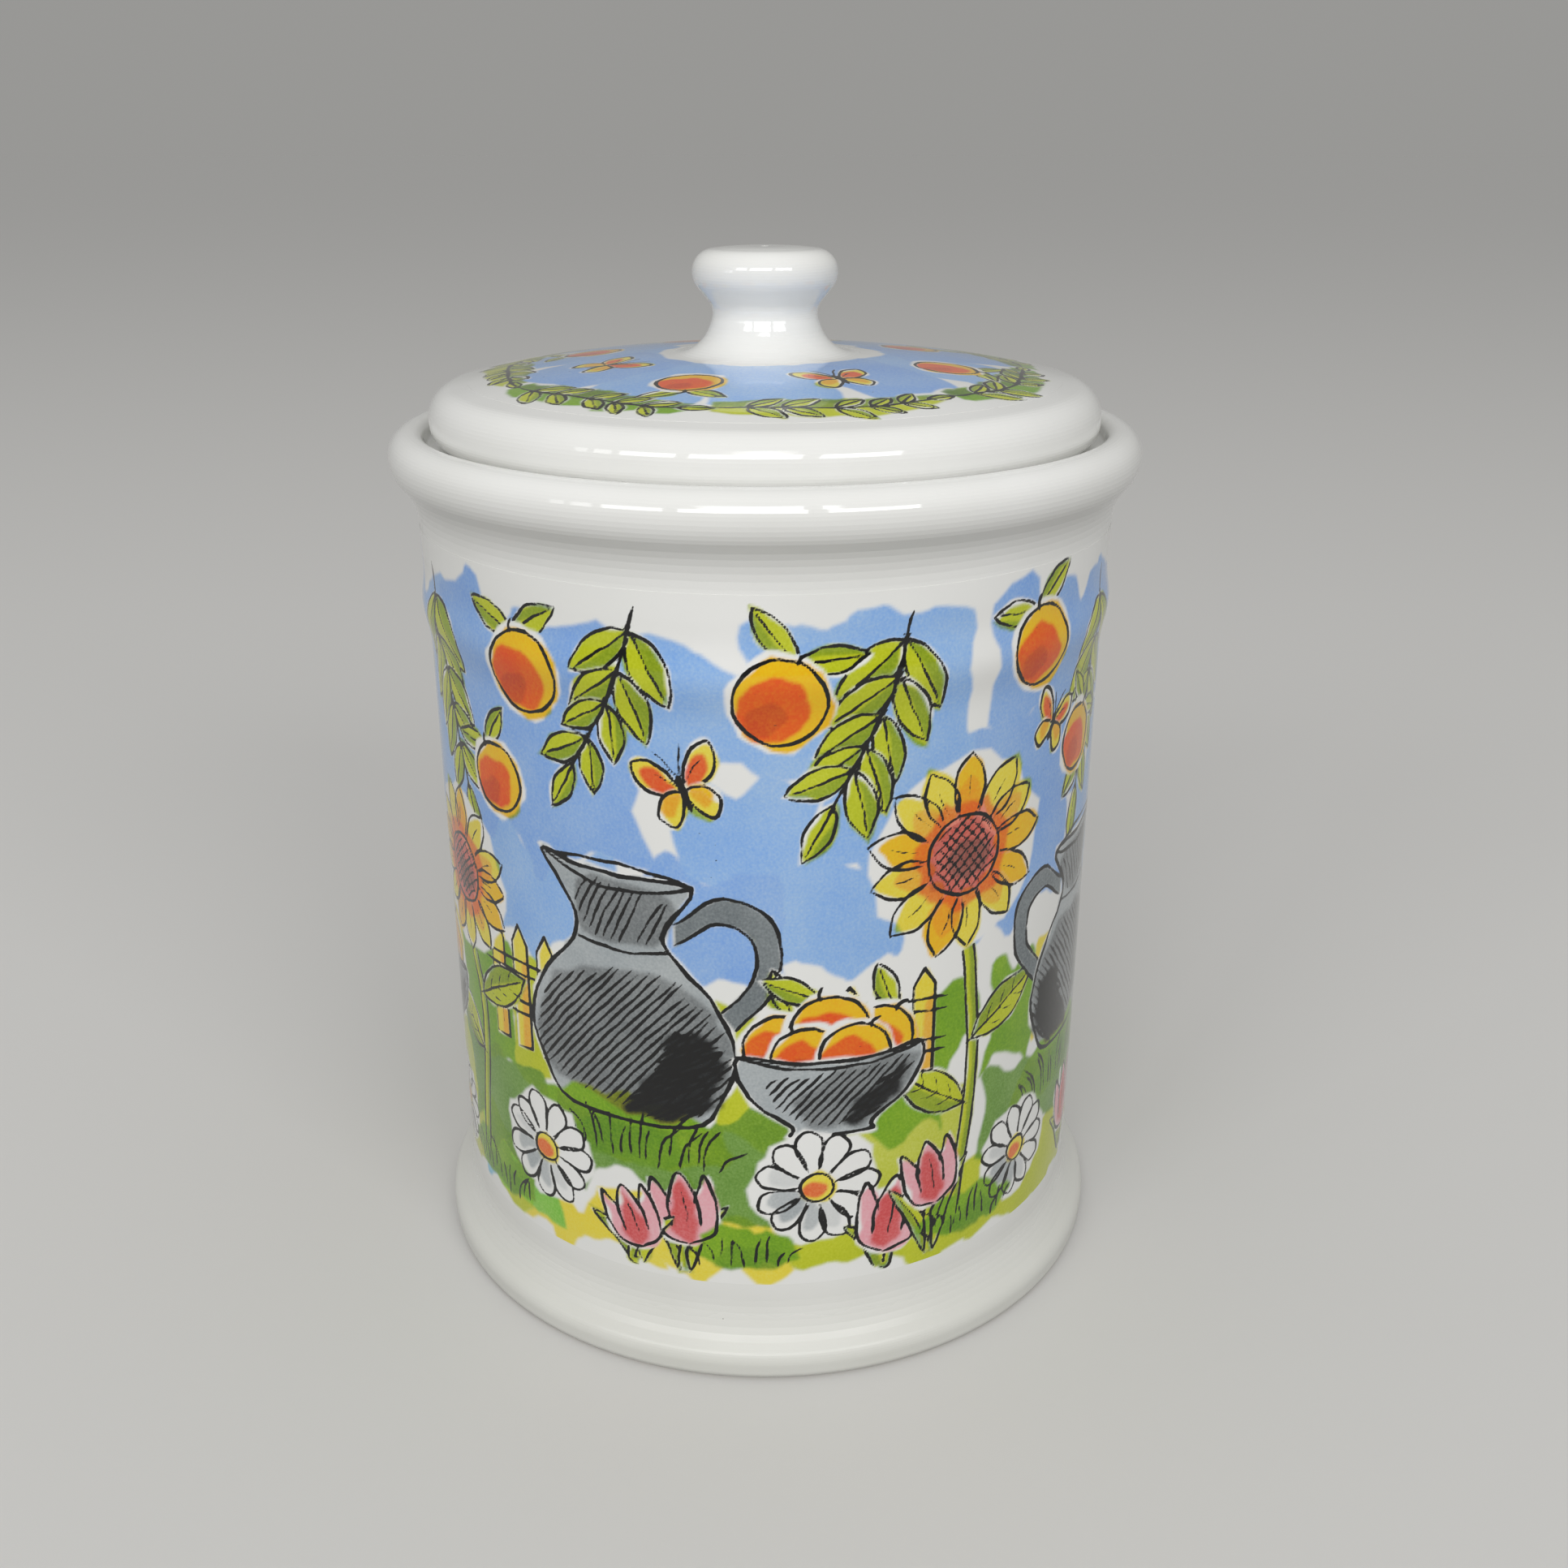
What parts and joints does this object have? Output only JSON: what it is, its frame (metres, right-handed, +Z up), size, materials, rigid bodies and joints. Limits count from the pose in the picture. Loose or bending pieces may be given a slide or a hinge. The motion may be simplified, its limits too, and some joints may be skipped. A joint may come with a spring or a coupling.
{
  "type": "biscuit jar",
  "caption": "Round lidded biscuit jar in glazed earthenware: straight printed wall, spreading foot, rolled rim, and a recessed domed lid with a mushroom knob.",
  "frame": {"origin": "centre of the bare foot ring, on the surface that the jar stands on", "axes": "+Z up along the axis that every piece is turned about; the jar is round, and -Y is its front, towards the viewer"},
  "size_m": [0.1494, 0.1494, 0.211],
  "materials": {
    "white_glaze": "clear gloss glaze over a white earthenware body, bare on the foot ring",
    "jar_print": "fired-on transfer under the same gloss: ink line and colour washes",
    "lid_print": "fired-on transfer under the same gloss: ink line and colour washes"
  },
  "bodies": {
    "jar": {"jar": "white_glaze", "jar_print": "jar_print"},
    "lid": {"lid": "white_glaze", "lid_print": "lid_print"}
  },
  "joints": [
    {"name": "lid_lift", "type": "slide", "parent": "jar", "child": "lid", "axis": [0, 0, 1], "range_m": [0, 0.12]}
  ]
}
